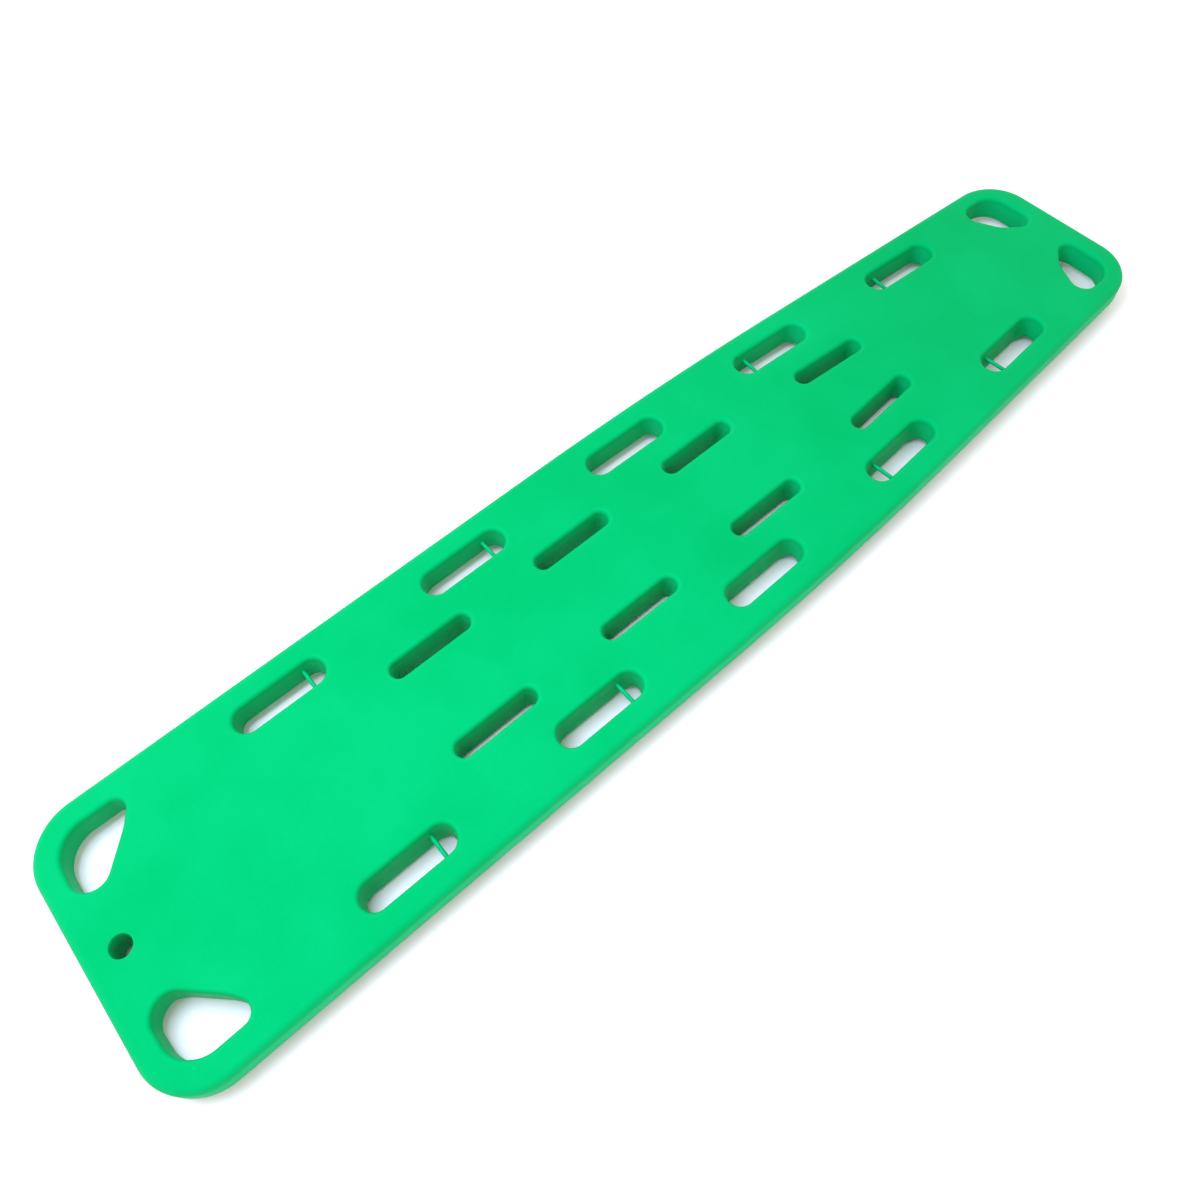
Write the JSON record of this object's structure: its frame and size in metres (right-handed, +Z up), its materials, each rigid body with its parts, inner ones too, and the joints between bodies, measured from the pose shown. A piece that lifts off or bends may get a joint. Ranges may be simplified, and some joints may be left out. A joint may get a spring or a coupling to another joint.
{
  "type": "spine board",
  "caption": "Long rescue spine board: foam-filled green plastic shell with hand holes, strap slots, corner grips and clip pins, tapering to the foot end.",
  "frame": {"origin": "on the floor under the middle of the board", "axes": "+Y from the head end to the foot end, +X across the board, +Z up out of the patient surface"},
  "size_m": [0.4064, 1.8288, 0.0571],
  "materials": {
    "skin": "satin moulded polyethylene, fine uneven moulding texture",
    "pin": "smooth moulded polyethylene",
    "plug": "smooth spin-welded plug",
    "foam": "closed-cell rigid foam",
    "glass_fibre": "pultruded glass-fibre tube"
  },
  "bodies": {
    "root": {"top_shell": "skin", "bottom_shell": "skin", "foam_core": "foam", "stiffener_left": "glass_fibre", "stiffener_right": "glass_fibre", "strap_pin_left_1": "pin", "strap_pin_left_2": "pin", "strap_pin_left_4": "pin", "strap_pin_left_5": "pin", "strap_pin_right_1": "pin", "strap_pin_right_2": "pin", "strap_pin_right_4": "pin", "strap_pin_right_5": "pin", "tube_plug_left_head": "plug", "tube_plug_left_foot": "plug", "tube_plug_right_head": "plug", "tube_plug_right_foot": "plug", "fill_plug_head": "plug", "fill_plug_foot": "plug"}
  },
  "joints": []
}
